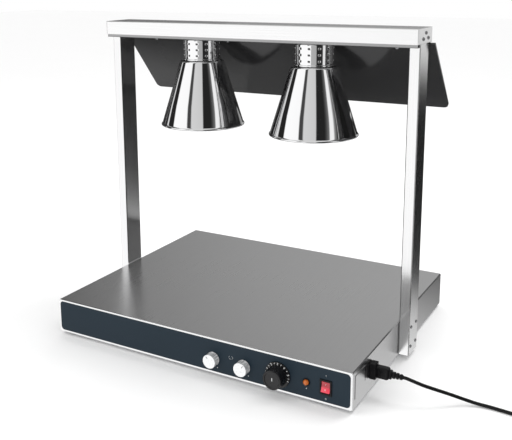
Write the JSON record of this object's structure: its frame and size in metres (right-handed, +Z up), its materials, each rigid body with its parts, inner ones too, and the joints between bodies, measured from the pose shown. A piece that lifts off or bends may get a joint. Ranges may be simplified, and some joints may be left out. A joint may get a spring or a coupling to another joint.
{
  "type": "heat lamp warmer",
  "caption": "Countertop food warmer: heated flat display base with a gantry holding conical infrared heat lamps, a tilted rear guard, rotary controls and a plug-in mains lead.",
  "frame": {"origin": "on the table, under the middle of the object without its mains lead", "axes": "+X along the base to the right as seen by someone at the controls, +Y to the back, +Z up"},
  "size_m": [1.1699, 0.637, 0.7351],
  "materials": {
    "plate_steel": "fine brushed stainless",
    "frame_steel": "fine brushed stainless",
    "polished_steel": "mirror polished",
    "knob_metal": "satin",
    "zinc_steel": "zinc plated",
    "slate_film": "satin printed film",
    "smoked_sheet": "glossy charcoal",
    "black_plastic": "fine satin",
    "foot_rubber": "matt",
    "amber_lens": "translucent",
    "red_rocker": "translucent, lit",
    "insulation": "matt board",
    "silicone": "matt",
    "porcelain": "glazed",
    "lamp_glass": "frosted face, silvered inside",
    "loom": "glass sleeving",
    "block_plastic": "plain",
    "cord_sheath": "satin"
  },
  "bodies": {
    "warmer": {"top_casing": "plate_steel", "front_panel": "polished_steel", "control_overlay": "slate_film", "bottom_cover": "zinc_steel", "heater_mat": "silicone", "insulation_board": "insulation", "thermostat_body": "block_plastic", "sensor_bulb": "zinc_steel", "lamp_control_left": "black_plastic", "lamp_control_right": "black_plastic", "pilot_holder": "black_plastic", "pilot_lens": "amber_lens", "rocker_housing": "black_plastic", "terminal_block": "block_plastic", "earth_stud": "zinc_steel", "base_loom": "loom", "lamp_loom": "loom", "power_inlet": "black_plastic", "rating_plate": "frame_steel", "foot_front_left": "foot_rubber", "foot_front_right": "foot_rubber", "foot_rear_left": "foot_rubber", "foot_rear_right": "foot_rubber", "post_left": "frame_steel", "post_right": "frame_steel", "post_screws_left": "zinc_steel", "post_screws_right": "zinc_steel", "beam_cover": "frame_steel", "beam_tray": "frame_steel", "beam_cap_left": "frame_steel", "beam_cap_right": "frame_steel", "beam_screws_left": "zinc_steel", "beam_screws_right": "zinc_steel", "lamp_holder_left": "porcelain", "lamp_holder_right": "porcelain", "neck_left": "polished_steel", "neck_right": "polished_steel", "shade_left": "polished_steel", "shade_right": "polished_steel", "shade_ring_left": "zinc_steel", "shade_ring_right": "zinc_steel", "bulb_left": "lamp_glass", "bulb_right": "lamp_glass", "guard": "smoked_sheet", "guard_strip": "frame_steel", "guard_bolts": "zinc_steel"},
    "knob_left": {"knob_left": "knob_metal", "lamp_shaft_left": "zinc_steel"},
    "knob_right": {"knob_right": "knob_metal", "lamp_shaft_right": "zinc_steel"},
    "thermostat_dial": {"dial_skirt": "black_plastic", "dial_cap": "black_plastic", "thermostat_shaft": "zinc_steel"},
    "rocker": {"rocker": "red_rocker"},
    "mains_lead": {"lead_connector": "black_plastic", "mains_cord": "cord_sheath", "cord_coil": "cord_sheath", "coil_tie": "black_plastic", "mains_plug": "black_plastic", "plug_pins": "zinc_steel"}
  },
  "joints": [
    {"name": "knob_left_turn", "type": "hinge", "parent": "warmer", "child": "knob_left", "pos_m": [0.0575, -0.2895, 0.041], "axis": [0, 1, 0], "range_deg": [-150, 150]},
    {"name": "knob_right_turn", "type": "hinge", "parent": "warmer", "child": "knob_right", "pos_m": [0.1325, -0.2895, 0.041], "axis": [0, 1, 0], "range_deg": [-150, 150]},
    {"name": "dial_turn", "type": "hinge", "parent": "warmer", "child": "thermostat_dial", "pos_m": [0.213, -0.2895, 0.044], "axis": [0, 1, 0], "range_deg": [0, 270]},
    {"name": "rocker_tilt", "type": "hinge", "parent": "warmer", "child": "rocker", "pos_m": [0.3191, -0.2851, 0.0435], "axis": [1, 0, 0], "range_deg": [0, 24]},
    {"name": "lead_unplug", "type": "slide", "parent": "warmer", "child": "mains_lead", "axis": [1, 0, 0], "range_m": [0, 0.03]}
  ]
}
